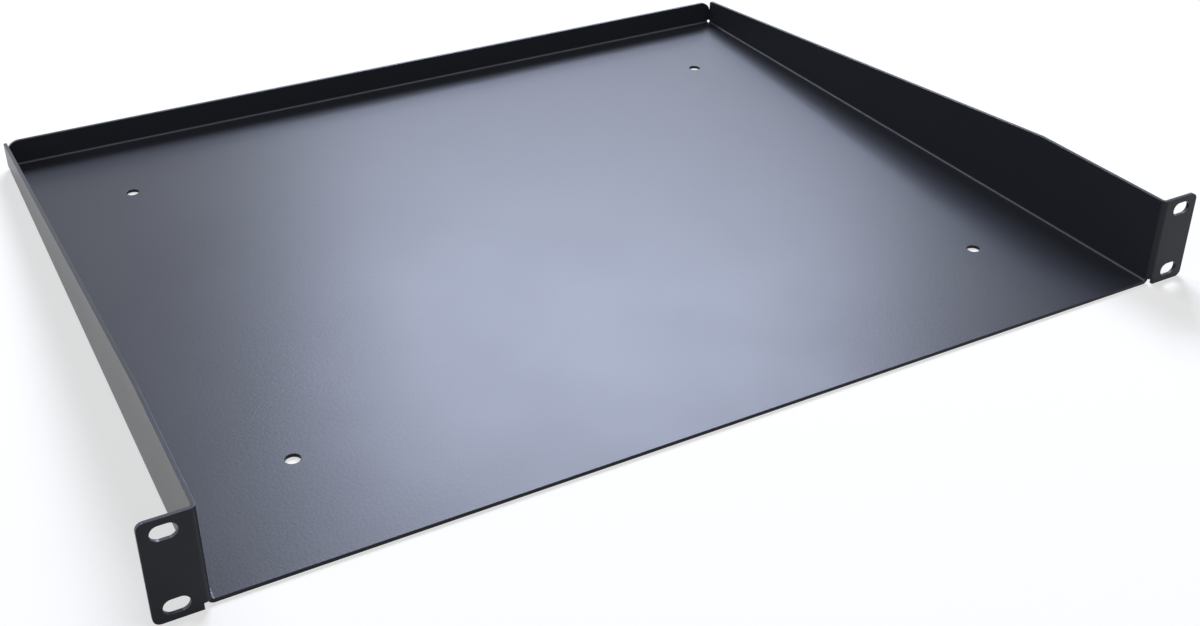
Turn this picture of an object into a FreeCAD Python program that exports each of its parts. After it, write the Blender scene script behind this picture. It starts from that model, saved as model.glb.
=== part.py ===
"""Cantilever rack shelf, one rack unit high, folded from one sheet of steel.

The base is a flat tray floor.  A wall is folded up along each side and along
the rear, and the front end of each side wall is folded outwards into an ear
that bolts to the rack's front rail.  The side walls are full height behind the
ears and then slope down to the rear.

The body is drawn with X across the rack, Y from the front face of the ears
towards the rear, and Z up from the underside.  Its placement then sets the
origin under the middle of the shelf.  Millimetres throughout.
"""
import FreeCAD, Part
import math
import os

import Sketcher

# name: (size, what it measures)
SIZES = {
    "thickness": (1.6, "sheet, with its coating"),
    "bend_radius": (1.0, "inside of every fold"),
    "panel_width": (482.6, "across both ears, the 19 inch panel width"),
    "panel_height": (43.55, "ears and front of the side walls, one rack unit less clearance"),
    "ear_width": (19.05, "from the outer face of a side wall to the end of its ear"),
    "ear_corner_radius": (3.0, "outer corners of the ears"),
    "depth": (381.0, "front face of the ears to the rear face"),
    "base_setback": (0.25, "front edge of the base behind the back of the ears"),
    "taper_start": (79.1, "full height of the side walls ends here, behind the front face"),
    "side_rear_height": (15.65, "side walls at their rear end"),
    "side_corner_radius": (1.5, "upper rear corner of the side walls"),
    "side_rear_gap": (0.5, "side wall end to the inner face of the rear wall"),
    "rear_height": (15.2, "rear wall"),
    "rear_end_inset": (1.05, "rear wall end to the outer face of the side wall"),
    "rear_corner_radius": (7.0, "upper corners of the rear wall"),
    "slot_from_edge": (8.75, "slot centre to the end of the ear"),
    "slot_spacing": (31.75, "between the two slot centres of one ear"),
    "slot_width": (6.45, "across a slot, which has round ends"),
    "slot_travel": (3.2, "between the centres of a slot's two round ends"),
    "hole_from_side": (51.2, "base hole centre to the outer face of the side wall"),
    "hole_from_end": (63.5, "base hole centre to the front and rear faces"),
    "hole_diameter": (6.5, "base holes"),
    "relief_margin": (0.5, "round relief at a rear corner, wider than the folds it frees"),
    "notch_beside_bend": (0.45, "relief notch beyond the ear fold"),
    "notch_over_bend": (0.2, "relief notch above the side fold"),
}

# Places that follow from the sizes, as spreadsheet expressions.
HALF_PANEL = "(Sizes.panel_width / 2)"
HALF_BODY = "(Sizes.panel_width / 2 - Sizes.ear_width)"
OUTER_RADIUS = "(Sizes.bend_radius + Sizes.thickness)"
FRONT_EDGE_Y = "(Sizes.thickness + Sizes.base_setback)"
SIDE_BEND_X = f"({HALF_BODY} - {OUTER_RADIUS})"
REAR_BEND_Y = f"(Sizes.depth - {OUTER_RADIUS})"
EAR_BEND_X = f"({HALF_BODY} + Sizes.bend_radius)"
SIDE_END_Y = "(Sizes.depth - Sizes.thickness - Sizes.side_rear_gap)"
REAR_END_X = f"({HALF_BODY} - Sizes.rear_end_inset)"
NOTCH_X = f"({EAR_BEND_X} + Sizes.notch_beside_bend)"
NOTCH_Z = f"({OUTER_RADIUS} + Sizes.notch_over_bend)"
RELIEF_INSET = f"({OUTER_RADIUS} / 2)"
RELIEF_X = f"({HALF_BODY} - {RELIEF_INSET})"
RELIEF_Y = f"(Sizes.depth - {RELIEF_INSET})"
RELIEF_DIAMETER = f"({OUTER_RADIUS} + Sizes.relief_margin)"

# What a sketch's constraints refer to.
ORIGIN = (-1, 1)
X_AXIS = -1
START, END, CENTRE = 1, 2, 3

# Which way the two ends of a quarter ring lie, by the angle where it starts.
RING_ENDS = {180: ("Horizontal", "Vertical"), 270: ("Vertical", "Horizontal")}

doc = FreeCAD.newDocument("RackShelf")


def write_sizes():
    """Write the driving sizes into the spreadsheet, one named cell each."""
    sheet = doc.addObject("Spreadsheet::Sheet", "Sizes")
    for row, (name, (size, meaning)) in enumerate(SIZES.items(), start=1):
        sheet.set(f"A{row}", name)
        sheet.set(f"B{row}", str(size))
        sheet.set(f"C{row}", meaning)
        sheet.setAlias(f"B{row}", name)
    doc.recompute()


write_sizes()
body = doc.addObject("PartDesign::Body", "ShelfPan")
body.Label = "shelf_pan"


def value_of(expression):
    """Return what a spreadsheet expression comes to, in millimetres."""
    return float(body.evalExpression(expression))


# --- sketches -------------------------------------------------------------

def origin_plane(role):
    """Return one of the body's own origin planes, such as XY_Plane."""
    return next(plane for plane in body.Origin.OriginFeatures if plane.Role == role)


def new_sketch(name, plane, offset="0"):
    """Add a sketch to the body, on an origin plane moved along its normal."""
    sketch = body.newObject("Sketcher::SketchObject", name)
    sketch.AttachmentSupport = [(origin_plane(plane), "")]
    sketch.MapMode = "FlatFace"
    sketch.setExpression("AttachmentOffset.Base.z", offset)
    return sketch


def bind(sketch, kind, *references):
    """Add a dimension whose last reference is the expression that sets it."""
    *geometry, expression = references
    number = sketch.addConstraint(Sketcher.Constraint(kind, *geometry, value_of(expression)))
    sketch.setExpression(f"Constraints[{number}]", expression)


def place_point(sketch, point, across, up):
    """Dimension a point of the sketch from its origin, both ways."""
    bind(sketch, "DistanceX", *ORIGIN, *point, across)
    bind(sketch, "DistanceY", *ORIGIN, *point, up)


def draw_outline(sketch, corners):
    """Draw a closed outline of straight lines through corners.

    Each corner is a pair of expressions.  A line whose ends share one is held
    level or upright, so every coordinate is dimensioned once.
    """
    points = [FreeCAD.Vector(value_of(x), value_of(y), 0) for x, y in corners]
    count = len(corners)
    lines = [sketch.addGeometry(Part.LineSegment(points[i], points[(i + 1) % count]))
             for i in range(count)]
    for i, line in enumerate(lines):
        here, following = corners[i], corners[(i + 1) % count]
        next_line = lines[(i + 1) % count]
        sketch.addConstraint(Sketcher.Constraint("Coincident", line, END, next_line, START))
        if here[0] == following[0]:
            sketch.addConstraint(Sketcher.Constraint("Vertical", line))
        if here[1] == following[1]:
            sketch.addConstraint(Sketcher.Constraint("Horizontal", line))
    for i, line in enumerate(lines):
        here, previous = corners[i], corners[i - 1]
        if here[0] != previous[0]:
            bind(sketch, "DistanceX", *ORIGIN, line, START, here[0])
        if here[1] == "0":
            if previous[1] != "0":
                sketch.addConstraint(Sketcher.Constraint("PointOnObject", line, START, X_AXIS))
        elif here[1] != previous[1]:
            bind(sketch, "DistanceY", *ORIGIN, line, START, here[1])


def draw_fold(sketch, across, up, start_degrees):
    """Draw the section of a fold: a quarter ring as thick as the sheet.

    Args:
        across, up: expressions for the centre of the fold.
        start_degrees: where the quarter begins, 180 or 270.
    """
    centre = FreeCAD.Vector(value_of(across), value_of(up), 0)
    first, last = math.radians(start_degrees), math.radians(start_degrees + 90)
    arcs = []
    for radius in ("Sizes.bend_radius", OUTER_RADIUS):
        circle = Part.Circle(centre, FreeCAD.Vector(0, 0, 1), value_of(radius))
        arc = sketch.addGeometry(Part.ArcOfCircle(circle, first, last))
        bind(sketch, "Radius", arc, radius)
        arcs.append(arc)
    inner, outer = arcs
    sketch.addConstraint(Sketcher.Constraint("Coincident", outer, CENTRE, inner, CENTRE))
    place_point(sketch, (inner, CENTRE), across, up)
    for end, direction in zip((START, END), RING_ENDS[start_degrees]):
        line = sketch.addGeometry(Part.LineSegment(
            sketch.getPoint(inner, end), sketch.getPoint(outer, end)))
        sketch.addConstraint(Sketcher.Constraint("Coincident", line, START, inner, end))
        sketch.addConstraint(Sketcher.Constraint("Coincident", line, END, outer, end))
        sketch.addConstraint(Sketcher.Constraint(direction, line))
        sketch.addConstraint(Sketcher.Constraint(direction, inner, CENTRE, inner, end))


def draw_slot(sketch, across, up, width, travel):
    """Draw a level slot with round ends about its centre."""
    radius = f"({width} / 2)"
    centre = FreeCAD.Vector(value_of(across), value_of(up), 0)
    side = FreeCAD.Vector(value_of(travel) / 2, 0, 0)
    rise = FreeCAD.Vector(0, value_of(radius), 0)
    bulge = FreeCAD.Vector(value_of(radius), 0, 0)
    left, right = centre - side, centre + side
    loop = [sketch.addGeometry(edge) for edge in (
        Part.Arc(left + rise, left - bulge, left - rise),
        Part.LineSegment(left - rise, right - rise),
        Part.Arc(right - rise, right + bulge, right + rise),
        Part.LineSegment(right + rise, left + rise),
    )]
    for i, edge in enumerate(loop):
        sketch.addConstraint(Sketcher.Constraint("Tangent", edge, END, loop[(i + 1) % 4], START))
    left_end, bottom, right_end, _ = loop
    sketch.addConstraint(Sketcher.Constraint("Equal", left_end, right_end))
    sketch.addConstraint(Sketcher.Constraint("Horizontal", bottom))
    bind(sketch, "Radius", left_end, radius)
    bind(sketch, "DistanceX", left_end, CENTRE, right_end, CENTRE, travel)
    place_point(sketch, (left_end, CENTRE), f"{across} - {travel} / 2", up)


def draw_circle(sketch, across, up, diameter):
    """Draw a circle about a centre given by expressions."""
    centre = FreeCAD.Vector(value_of(across), value_of(up), 0)
    circle = sketch.addGeometry(Part.Circle(centre, FreeCAD.Vector(0, 0, 1), value_of(diameter) / 2))
    bind(sketch, "Diameter", circle, diameter)
    place_point(sketch, (circle, CENTRE), across, up)


# --- features -------------------------------------------------------------

def add_metal(name, sketch, length, against_normal=False, both_ways=False):
    """Pad a sketch by the length that an expression gives."""
    pad = body.newObject("PartDesign::Pad", name)
    pad.Profile = sketch
    pad.setExpression("Length", length)
    pad.Reversed = against_normal
    if both_ways:
        pad.SideType = "Symmetric"
    doc.recompute()
    return pad


def punch(name, sketch, depth, along_normal=False):
    """Cut a sketch through the sheet, and make sure that it took metal away."""
    before = body.Shape.Volume
    pocket = body.newObject("PartDesign::Pocket", name)
    pocket.Profile = sketch
    pocket.setExpression("Length", depth)
    pocket.Reversed = along_normal
    doc.recompute()
    if not pocket.Shape.Volume < before:
        raise RuntimeError(f"{name} cuts nothing")
    return pocket


def round_corners(name, radius, middles):
    """Round the edges that run through the sheet and have these mid points."""
    tip = body.Tip
    edges = []
    for middle in middles:
        place = FreeCAD.Vector(*middle)
        edges += [f"Edge{number}" for number, edge in enumerate(tip.Shape.Edges, start=1)
                  if edge.CenterOfMass.isEqual(place, 1e-4)]
    if len(edges) != len(middles):
        raise RuntimeError(f"{name} found {len(edges)} edges for {len(middles)} corners")
    fillet = body.newObject("PartDesign::Fillet", name)
    fillet.Base = (tip, edges)
    fillet.setExpression("Radius", radius)
    doc.recompute()
    return fillet


def make_base():
    """The flat floor, up to the lines where the folds begin."""
    sketch = new_sketch("BaseOutline", "XY_Plane")
    draw_outline(sketch, [
        (f"-{SIDE_BEND_X}", FRONT_EDGE_Y),
        (SIDE_BEND_X, FRONT_EDGE_Y),
        (SIDE_BEND_X, REAR_BEND_Y),
        (f"-{SIDE_BEND_X}", REAR_BEND_Y),
    ])
    add_metal("Base", sketch, "Sizes.thickness")


def make_rear_wall():
    """The rear fold and the low wall above it, between the side walls."""
    fold = new_sketch("RearFoldSection", "YZ_Plane")
    draw_fold(fold, REAR_BEND_Y, OUTER_RADIUS, 270)
    add_metal("RearFold", fold, f"2 * {REAR_END_X}", both_ways=True)

    wall = new_sketch("RearWallOutline", "XZ_Plane", "-Sizes.depth")
    draw_outline(wall, [
        (f"-{REAR_END_X}", OUTER_RADIUS),
        (REAR_END_X, OUTER_RADIUS),
        (REAR_END_X, "Sizes.rear_height"),
        (f"-{REAR_END_X}", "Sizes.rear_height"),
    ])
    add_metal("RearWall", wall, "Sizes.thickness")


def make_side():
    """One side: the fold along the base and the wall that slopes to the rear."""
    fold = new_sketch("SideFoldSection", "XZ_Plane", f"-{FRONT_EDGE_Y}")
    draw_fold(fold, SIDE_BEND_X, OUTER_RADIUS, 270)
    side_fold = add_metal("SideFold", fold, f"{SIDE_END_Y} - {FRONT_EDGE_Y}", against_normal=True)

    wall = new_sketch("SideWallOutline", "YZ_Plane", f"{HALF_BODY} - Sizes.thickness")
    draw_outline(wall, [
        (FRONT_EDGE_Y, OUTER_RADIUS),
        (SIDE_END_Y, OUTER_RADIUS),
        (SIDE_END_Y, "Sizes.side_rear_height"),
        ("Sizes.taper_start", "Sizes.panel_height"),
        (OUTER_RADIUS, "Sizes.panel_height"),
        (OUTER_RADIUS, NOTCH_Z),
        (FRONT_EDGE_Y, NOTCH_Z),
    ])
    side_wall = add_metal("SideWall", wall, "Sizes.thickness")
    return [side_fold, side_wall]


def make_ear():
    """One ear: its fold off the side wall, its plate, and its two slots.

    The notch at the foot of the fold parts the ear from the base, so that both
    can be folded off the side wall.
    """
    fold = new_sketch("EarFoldSection", "XY_Plane", NOTCH_Z)
    draw_fold(fold, EAR_BEND_X, OUTER_RADIUS, 180)
    ear_fold = add_metal("EarFold", fold, f"Sizes.panel_height - {NOTCH_Z}")

    plate = new_sketch("EarOutline", "XZ_Plane")
    draw_outline(plate, [
        (NOTCH_X, "0"),
        (HALF_PANEL, "0"),
        (HALF_PANEL, "Sizes.panel_height"),
        (EAR_BEND_X, "Sizes.panel_height"),
        (EAR_BEND_X, NOTCH_Z),
        (NOTCH_X, NOTCH_Z),
    ])
    ear = add_metal("Ear", plate, "Sizes.thickness", against_normal=True)

    slots = new_sketch("SlotOutlines", "XZ_Plane")
    for side in ("-", "+"):
        draw_slot(slots, f"({HALF_PANEL} - Sizes.slot_from_edge)",
                  f"(Sizes.panel_height {side} Sizes.slot_spacing) / 2",
                  "Sizes.slot_width", "Sizes.slot_travel")
    ear_slots = punch("EarSlots", slots, "Sizes.thickness")
    return [ear_fold, ear, ear_slots]


def make_base_holes():
    """The front and rear holes on one side of the base."""
    sketch = new_sketch("BaseHoleOutlines", "XY_Plane")
    for row in ("Sizes.hole_from_end", "(Sizes.depth - Sizes.hole_from_end)"):
        draw_circle(sketch, f"{HALF_BODY} - Sizes.hole_from_side", row, "Sizes.hole_diameter")
    return [punch("BaseHoles", sketch, "Sizes.thickness", along_normal=True)]


def make_corner_relief():
    """One rear corner's relief: a round hole in the blank, seen in all three faces."""
    floor = new_sketch("ReliefInBase", "XY_Plane")
    draw_circle(floor, RELIEF_X, RELIEF_Y, RELIEF_DIAMETER)
    side = new_sketch("ReliefInSide", "YZ_Plane", SIDE_BEND_X)
    draw_circle(side, RELIEF_Y, RELIEF_INSET, RELIEF_DIAMETER)
    rear = new_sketch("ReliefInRear", "XZ_Plane", "-Sizes.depth")
    draw_circle(rear, RELIEF_X, RELIEF_INSET, RELIEF_DIAMETER)
    return [
        punch("BaseRelief", floor, OUTER_RADIUS, along_normal=True),
        punch("SideRelief", side, OUTER_RADIUS, along_normal=True),
        punch("RearRelief", rear, OUTER_RADIUS, along_normal=True),
    ]


def mirror_sides(features):
    """Repeat one side's features on the other side of the shelf."""
    mirrored = body.newObject("PartDesign::Mirrored", "BothSides")
    mirrored.Originals = features
    mirrored.MirrorPlane = (origin_plane("YZ_Plane"), [""])
    body.Tip = mirrored
    doc.recompute()


def round_all_corners():
    """Round the free corners of the ears, the rear wall and the side walls."""
    middle = value_of("Sizes.thickness") / 2
    ear_end, ear_top = value_of(HALF_PANEL), value_of("Sizes.panel_height")
    rear_end, rear_top = value_of(REAR_END_X), value_of("Sizes.rear_height")
    side_end, side_top = value_of(SIDE_END_Y), value_of("Sizes.side_rear_height")
    rear_middle = value_of("Sizes.depth") - middle
    side_middle = value_of(HALF_BODY) - middle
    hands = (-1, 1)
    round_corners("EarCorners", "Sizes.ear_corner_radius",
                  [(hand * ear_end, middle, height) for hand in hands for height in (0, ear_top)])
    round_corners("RearWallCorners", "min(Sizes.rear_corner_radius; Sizes.rear_height / 2)",
                  [(hand * rear_end, rear_middle, rear_top) for hand in hands])
    round_corners("SideWallCorners", "Sizes.side_corner_radius",
                  [(hand * side_middle, side_end, side_top) for hand in hands])


def place_body():
    """Put the origin under the middle of the shelf."""
    body.setExpression("Placement.Base.y", "-Sizes.depth / 2")
    doc.recompute()


def check_document():
    """Stop unless every object is sound and the sheet is still one piece."""
    failed = [item.Name for item in doc.Objects
              if "Invalid" in item.State or "Error" in item.State]
    if failed:
        raise RuntimeError("failed: " + ", ".join(failed))
    shape = body.Shape
    if shape.isNull() or not shape.isValid() or len(shape.Solids) != 1:
        raise RuntimeError("the folded sheet isn't one sound solid")


def write_part():
    """Write the folded sheet to parts/, under its label."""
    os.makedirs("parts", exist_ok=True)
    body.Shape.exportStep(f"parts/{body.Label}.step")
    box = body.Shape.BoundBox
    print(f"{body.Label}: {box.XLength:.2f} x {box.YLength:.2f} x {box.ZLength:.2f} mm, "
          f"{body.Shape.Volume / 1000:.2f} cm3")


make_base()
make_rear_wall()
one_side = make_side() + make_ear() + make_base_holes() + make_corner_relief()
mirror_sides(one_side)
round_all_corners()
place_body()
check_document()
write_part()
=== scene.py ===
"""Dresses a folded steel rack shelf in satin black powder coat, in a plain white studio.

Everything is in metres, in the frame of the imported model: X across the rack,
Y from the ears to the rear, Z up from the underside of the base.
"""
import logging
import math
from dataclasses import dataclass

import bpy
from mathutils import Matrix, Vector

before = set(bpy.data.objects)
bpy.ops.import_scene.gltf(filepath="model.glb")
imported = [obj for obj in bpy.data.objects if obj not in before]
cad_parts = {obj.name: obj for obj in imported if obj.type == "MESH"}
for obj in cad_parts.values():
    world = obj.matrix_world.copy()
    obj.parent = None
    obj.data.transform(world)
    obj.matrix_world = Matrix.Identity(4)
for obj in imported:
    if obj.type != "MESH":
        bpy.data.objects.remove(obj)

MM = 0.001
BLACK = "#000000"
WHITE = "#ffffff"

# The sRGB curve: a straight toe near black, and a power above it.
TOE_END = 0.04045
TOE_SLOPE = 12.92
CURVE_OFFSET = 0.055
CURVE_POWER = 2.4

log = logging.getLogger("rack_shelf")


def linear(hex_colour: str) -> tuple[float, float, float, float]:
    """Turn an sRGB colour into the linear one that shaders and lamps take.

    Args:
        hex_colour: six hex digits after a hash, such as "#1a1b1d".

    Returns:
        Linear red, green and blue, and an alpha of 1.
    """
    channels = [int(hex_colour[i:i + 2], 16) / 255 for i in (1, 3, 5)]
    red, green, blue = [
        c / TOE_SLOPE if c <= TOE_END else ((c + CURVE_OFFSET) / (1 + CURVE_OFFSET)) ** CURVE_POWER
        for c in channels
    ]
    return red, green, blue, 1.0


def add_node(
    tree: bpy.types.NodeTree,
    kind: str,
    inputs: dict[str | int, object] | None = None,
    **settings: object,
) -> bpy.types.Node:
    """Add a node to a tree, with its settings, its values and its links.

    Args:
        tree: the material's or the world's node tree.
        kind: the node's type, such as "ShaderNodeBump".
        inputs: what each input socket takes: an output socket to link from,
            or a value.
        settings: attributes of the node itself, such as its operation.

    Returns:
        The new node.
    """
    node = tree.nodes.new(kind)
    for name, value in settings.items():
        setattr(node, name, value)
    for key, value in (inputs or {}).items():
        if isinstance(value, bpy.types.NodeSocket):
            tree.links.new(value, node.inputs[key])
        else:
            node.inputs[key].default_value = value
    return node


def new_material(name: str) -> bpy.types.Material:
    """Make a material with an empty node tree.

    Args:
        name: what the finish is, such as "matt_white_floor".

    Returns:
        The material, without a surface yet.
    """
    material = bpy.data.materials.new(name)
    material.use_nodes = True
    material.node_tree.nodes.clear()
    return material


def seen_directly(tree: bpy.types.NodeTree) -> bpy.types.NodeSocket:
    """Tell the rays that show the background from those that light the shelf.

    Args:
        tree: the node tree that needs to know.

    Returns:
        1 for camera, glossy and transmission rays, and 0 for the others.
    """
    rays = add_node(tree, "ShaderNodeLightPath").outputs
    direct = add_node(tree, "ShaderNodeMath", {
        0: rays["Is Camera Ray"],
        1: rays["Is Glossy Ray"],
    }, operation="MAXIMUM")
    return add_node(tree, "ShaderNodeMath", {
        0: direct.outputs["Value"],
        1: rays["Is Transmission Ray"],
    }, operation="MAXIMUM").outputs["Value"]


@dataclass(frozen=True)
class SatinPowderCoat:
    """Black polyester powder, sprayed on the folded sheet and baked.

    It gives the eye a nearly black surface with a soft, wide sheen that turns
    bright at a low angle.  The powder flows out into a very fine grain and into
    long, faint waves of sheen.  In patches over the sheet's sharp edges, where
    hands rub it, it draws thin and so looks greyer.  The folds round the base
    are painted the same lighter grey, a painted highlight along each fold.  The
    grain of the real coat is about 0.3 mm wide, too fine to show, so it is drawn
    at 1.3 mm.
    """

    colour: str = "#343539"
    # Lighter grey for worn edges, and for the highlight painted along the folds.
    wear_and_fold_highlight_colour: str = "#636468"
    ior: float = 1.5
    roughness: float = 0.31
    roughness_drift: float = 0.03
    # A real coat is near 0.5.  It is lower here, so that the base's sheen stays
    # soft under a key lamp that lights the shelf at a plain level.
    specular_level: float = 0.15
    grain_mm: float = 1.3
    grain_height_mm: float = 0.03
    flow_mm: float = 60.0
    patch_mm: float = 9.0
    noise_detail: float = 2.0
    edge_radius_mm: float = 0.35
    edge_samples: int = 8
    # The face's normal times the rounded one, where wear begins and where it is full.
    edge_range: tuple[float, float] = (0.98, 0.75)
    # The noise at which a patch of wear begins and is full, and the wear between patches.
    patch_range: tuple[float, float] = (0.35, 0.65)
    patch_least: float = 0.2
    # Level share times upright share, for the painted fold highlight: 0.25 halfway round a fold, full
    # from here on.
    fold_highlight_full: float = 0.2

    def build(self) -> bpy.types.Material:
        """Make the coat's material.

        Returns:
            The material, ready for the sheet's slot.
        """
        material = new_material("satin_black_powder_coat")
        tree = material.node_tree
        place = add_node(tree, "ShaderNodeTexCoord").outputs["Object"]
        rounded = add_node(tree, "ShaderNodeBevel", {
            "Radius": self.edge_radius_mm * MM,
        }, samples=self.edge_samples).outputs["Normal"]
        bump = add_node(tree, "ShaderNodeBump", {
            "Height": self.add_noise(tree, place, self.grain_mm),
            "Distance": self.grain_height_mm * MM,
            "Normal": rounded,
        })
        roughness = add_node(tree, "ShaderNodeMapRange", {
            "Value": self.add_noise(tree, place, self.flow_mm),
            "To Min": self.roughness - self.roughness_drift,
            "To Max": self.roughness + self.roughness_drift,
        })
        # The coat turns lighter grey on its worn edges, and in a painted highlight along the folds.
        colour = add_node(tree, "ShaderNodeMix", {
            "Factor": self.add_wear_and_fold_highlight(tree, place, rounded),
            "A": linear(self.colour),
            "B": linear(self.wear_and_fold_highlight_colour),
        }, data_type="RGBA")
        surface = add_node(tree, "ShaderNodeBsdfPrincipled", {
            "Base Color": colour.outputs["Result"],
            "Roughness": roughness.outputs["Result"],
            "IOR": self.ior,
            "Specular IOR Level": self.specular_level,
            "Normal": bump.outputs["Normal"],
        })
        add_node(tree, "ShaderNodeOutputMaterial", {"Surface": surface.outputs["BSDF"]})
        return material

    def add_noise(
        self, tree: bpy.types.NodeTree, place: bpy.types.NodeSocket, width_mm: float,
    ) -> bpy.types.NodeSocket:
        """Add an even noise.

        Args:
            tree: the coat's node tree.
            place: the object's own coordinates.
            width_mm: how wide its lumps are, in millimetres.

        Returns:
            The noise, from 0 to 1.
        """
        return add_node(tree, "ShaderNodeTexNoise", {
            "Vector": place,
            "Scale": 1 / (width_mm * MM),
            "Detail": self.noise_detail,
        }).outputs["Fac"]

    def add_wear_and_fold_highlight(
        self, tree: bpy.types.NodeTree, place: bpy.types.NodeSocket, rounded: bpy.types.NodeSocket,
    ) -> bpy.types.NodeSocket:
        """Find where the coat is worn thin, unevenly on the sharp edges, and where a painted highlight
        runs evenly along the folds.

        Args:
            tree: the coat's node tree.
            place: the object's own coordinates.
            rounded: the normal with the edges rounded off.

        Returns:
            0 on the flat faces, and up to 1 where the coat is worn thin or a fold's highlight is
            painted.
        """
        facing = add_node(tree, "ShaderNodeNewGeometry").outputs["Normal"]
        kept = add_node(tree, "ShaderNodeVectorMath", {0: rounded, 1: facing}, operation="DOT_PRODUCT")
        edge = add_node(tree, "ShaderNodeMapRange", {
            "Value": kept.outputs["Value"],
            "From Min": self.edge_range[0],
            "From Max": self.edge_range[1],
        })
        patches = add_node(tree, "ShaderNodeMapRange", {
            "Value": self.add_noise(tree, place, self.patch_mm),
            "From Min": self.patch_range[0],
            "From Max": self.patch_range[1],
            "To Min": self.patch_least,
        })
        # Patchy wear on the edges, plus the painted highlight along the folds.
        return add_node(tree, "ShaderNodeMath", {
            0: edge.outputs["Result"],
            1: patches.outputs["Result"],
            2: self.add_fold_highlight(tree, facing),
        }, operation="MULTIPLY_ADD").outputs["Value"]

    def add_fold_highlight(
        self, tree: bpy.types.NodeTree, facing: bpy.types.NodeSocket,
    ) -> bpy.types.NodeSocket:
        """Find the folds round the base, whose faces are neither level nor upright, where a highlight
        is painted.

        Args:
            tree: the coat's node tree.
            facing: the face's own normal.

        Returns:
            0 on level and upright faces, and up to 1 halfway round a fold.
        """
        rise = add_node(tree, "ShaderNodeSeparateXYZ", {0: facing}).outputs["Z"]
        level = add_node(tree, "ShaderNodeMath", {
            0: rise,
            1: rise,
        }, operation="MULTIPLY").outputs["Value"]
        upright = add_node(tree, "ShaderNodeMath", {
            0: 1.0,
            1: level,
        }, operation="SUBTRACT").outputs["Value"]
        both = add_node(tree, "ShaderNodeMath", {
            0: level,
            1: upright,
        }, operation="MULTIPLY").outputs["Value"]
        return add_node(tree, "ShaderNodeMapRange", {
            "Value": both,
            "From Max": self.fold_highlight_full,
        }).outputs["Result"]


@dataclass(frozen=True)
class FloorPaint:
    """Matt white studio floor, which gives the eye only the shelf's soft shadow.

    Near the shelf it is about half matt paint, which takes the shadow, and half
    glow.  Further out it turns to glow alone, as white as the surround.
    """

    colour: str = "#b4b0a6"
    glow: float = 0.58
    shadow_mm: float = 320.0
    fade_mm: float = 620.0

    def build(self) -> bpy.types.Material:
        """Make the floor's material.

        Returns:
            The material, for a floor centred under the shelf.
        """
        material = new_material("matt_white_floor")
        tree = material.node_tree
        place = add_node(tree, "ShaderNodeTexCoord").outputs["Object"]
        away = add_node(tree, "ShaderNodeVectorMath", {0: place}, operation="LENGTH")
        far = add_node(tree, "ShaderNodeMapRange", {
            "Value": away.outputs["Value"],
            "From Min": self.shadow_mm * MM,
            "From Max": self.fade_mm * MM,
        }, interpolation_type="SMOOTHSTEP").outputs["Result"]
        paint = add_node(tree, "ShaderNodeMix", {
            "Factor": far,
            "A": linear(self.colour),
            "B": linear(BLACK),
        }, data_type="RGBA")
        matt = add_node(tree, "ShaderNodeBsdfDiffuse", {"Color": paint.outputs["Result"]})
        strength = add_node(tree, "ShaderNodeMapRange", {"Value": far, "To Min": self.glow})
        lift = add_node(tree, "ShaderNodeMath", {
            0: seen_directly(tree),
            1: strength.outputs["Result"],
        }, operation="MULTIPLY")
        glow = add_node(tree, "ShaderNodeEmission", {"Strength": lift.outputs["Value"]})
        both = add_node(tree, "ShaderNodeAddShader", {
            0: matt.outputs["BSDF"],
            1: glow.outputs["Emission"],
        })
        add_node(tree, "ShaderNodeOutputMaterial", {"Surface": both.outputs["Shader"]})
        return material


@dataclass
class ShelfPan:
    """The folded sheet, which is the whole shelf."""

    node: str = "shelf_pan"

    def dress(self, coat: bpy.types.Material) -> bpy.types.Object:
        """Give every face of the sheet its coat.

        Args:
            coat: the powder coat's material.

        Returns:
            The sheet's object, as packed.
        """
        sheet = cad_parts[self.node]
        for slot in sheet.material_slots:
            slot.material = coat
        return sheet


@dataclass
class Softbox:
    """A flat lamp with a white front cloth, aimed at the middle of the shelf.

    Its azimuth and elevation are in degrees, azimuth 0 being straight behind
    the shelf and 90 on its right.  Its radiance is that of the cloth, where 1
    looks white.
    """

    name: str
    azimuth: float
    elevation: float
    width: float
    height: float
    radiance: float
    colour: str
    distance: float = 4.0

    def build(self) -> bpy.types.Object:
        """Put the lamp in the scene.

        Returns:
            The lamp's object.
        """
        lamp = bpy.data.lights.new(self.name, "AREA")
        lamp.shape = "RECTANGLE"
        lamp.size = self.width
        lamp.size_y = self.height
        lamp.color = linear(self.colour)[:3]
        lamp.energy = self.radiance * math.pi * self.width * self.height
        box = bpy.data.objects.new(self.name, lamp)
        turn, lift = math.radians(self.azimuth), math.radians(self.elevation)
        away = Vector((
            math.sin(turn) * math.cos(lift),
            math.cos(turn) * math.cos(lift),
            math.sin(lift),
        ))
        box.location = away * self.distance
        box.rotation_euler = away.to_track_quat("Z", "Y").to_euler()
        box.visible_camera = False
        bpy.context.scene.collection.objects.link(box)
        return box


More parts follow.
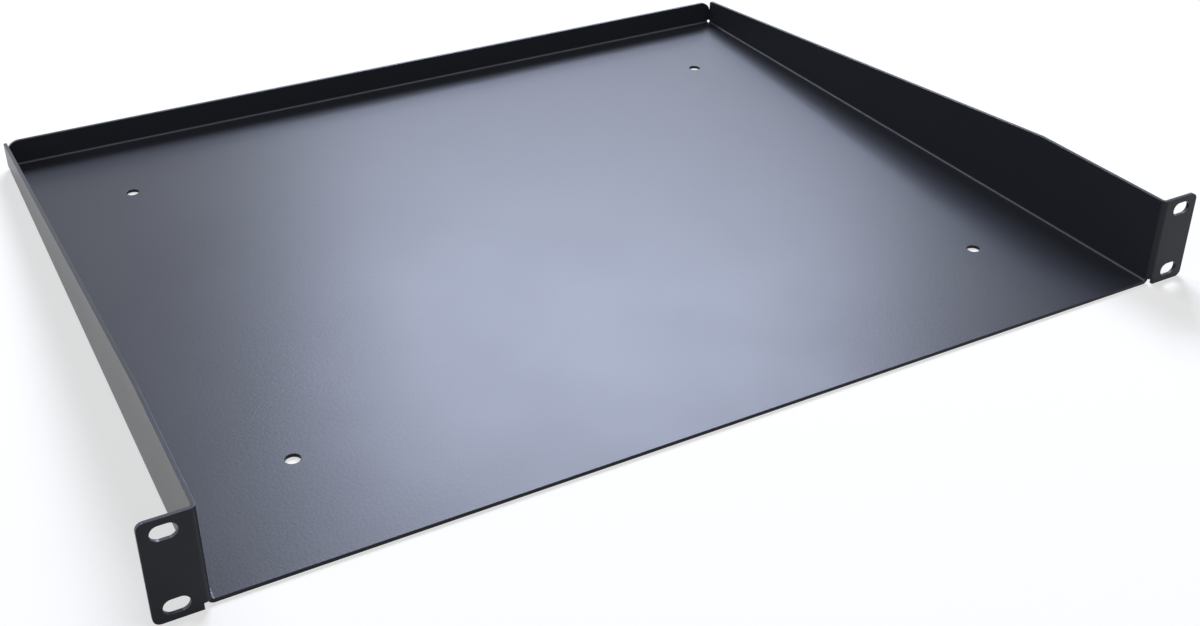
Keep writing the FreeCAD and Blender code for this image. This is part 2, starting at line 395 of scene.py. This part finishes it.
@dataclass
class Studio:
    """A wide white floor under a white surround, with softboxes round the shelf."""

    floor_size: float = 30.0
    floor_drop_mm: float = 0.05
    fill: float = 0.05

    def build(self) -> list[bpy.types.Object]:
        """Lay the floor, set the surround and place the softboxes.

        Returns:
            The floor's and the lamps' objects.
        """
        floor = self.lay_floor()
        self.set_surround()
        return [floor] + [box.build() for box in self.softboxes()]

    def lay_floor(self) -> bpy.types.Object:
        """Lay the floor just under the shelf.

        Returns:
            The floor's object.
        """
        half = self.floor_size / 2
        corners = [(-half, -half, 0), (half, -half, 0), (half, half, 0), (-half, half, 0)]
        mesh = bpy.data.meshes.new("floor")
        mesh.from_pydata(corners, [], [(0, 1, 2, 3)])
        floor = bpy.data.objects.new("floor", mesh)
        floor.location.z = -self.floor_drop_mm * MM
        mesh.materials.append(FloorPaint().build())
        bpy.context.scene.collection.objects.link(floor)
        return floor

    def set_surround(self) -> None:
        """Make the surround white to the eye, and a weak fill as a light."""
        world = bpy.data.worlds.new("surround")
        world.use_nodes = True
        tree = world.node_tree
        tree.nodes.clear()
        strength = add_node(tree, "ShaderNodeMapRange", {
            "Value": seen_directly(tree),
            "To Min": self.fill,
            "To Max": 1.0,
        })
        glow = add_node(tree, "ShaderNodeBackground", {
            "Color": linear(WHITE),
            "Strength": strength.outputs["Result"],
        })
        add_node(tree, "ShaderNodeOutputWorld", {"Surface": glow.outputs["Background"]})
        bpy.context.scene.world = world

    def softboxes(self) -> list[Softbox]:
        """List the lamps.

        Returns:
            Three softboxes behind the shelf and three that fill from elsewhere.
        """
        return [
            # Behind: the base's broad sheen, its front corner, and the line along the rear fold.
            Softbox("key_softbox", azimuth=29.5, elevation=39.2,
                    width=1.75, height=1.3, radiance=28.8, colour="#d9e3ff"),
            Softbox("low_softbox", azimuth=24.0, elevation=25.0,
                    width=1.5, height=0.7, radiance=2.4, colour="#d9e3ff"),
            Softbox("rear_softbox", azimuth=-16.0, elevation=43.0,
                    width=1.5, height=1.0, radiance=9.5, colour="#e2ebff"),
            # Above, left and front: a weak, even light on the walls and the ears.
            Softbox("top_softbox", azimuth=135.0, elevation=60.0,
                    width=1.5, height=1.5, radiance=3.5, colour="#eef2ff"),
            Softbox("side_softbox", azimuth=262.0, elevation=25.0,
                    width=1.7, height=1.7, radiance=3.2, colour="#dde8ff"),
            Softbox("front_softbox", azimuth=190.0, elevation=25.0,
                    width=1.7, height=1.7, radiance=1.8, colour="#e2eaff"),
        ]


@dataclass
class Camera:
    """A camera above the front left, looking down across the shelf."""

    place: tuple[float, float, float] = (-0.28947, -0.58744, 0.35909)
    aim: tuple[float, float, float] = (0.00996, -0.03999, 0.0)
    lens_mm: float = 44.7
    shift_x: float = 0.00449
    shift_y: float = -0.05049
    nearest: float = 0.01

    def build(self) -> bpy.types.Object:
        """Put the camera in the scene and look through it.

        Returns:
            The camera's object.
        """
        lens = bpy.data.cameras.new("camera")
        lens.lens = self.lens_mm
        lens.shift_x = self.shift_x
        lens.shift_y = self.shift_y
        lens.clip_start = self.nearest
        camera = bpy.data.objects.new("camera", lens)
        camera.location = self.place
        gaze = Vector(self.aim) - Vector(self.place)
        camera.rotation_euler = gaze.to_track_quat("-Z", "Y").to_euler()
        bpy.context.scene.collection.objects.link(camera)
        bpy.context.scene.camera = camera
        return camera


def main() -> None:
    """Dress the shelf and set up the studio, and report each piece."""
    logging.basicConfig(level=logging.INFO, format="%(message)s")
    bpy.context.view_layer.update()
    coat = SatinPowderCoat().build()
    sheet = ShelfPan().dress(coat)
    log.info("%s wears %s", sheet.name, coat.name)
    for thing in Studio().build():
        log.info("%s is in place", thing.name)
    camera = Camera().build()
    log.info("%s looks at the shelf", camera.name)
    bpy.context.scene.view_settings.view_transform = "Standard"


if __name__ == "__main__":
    main()
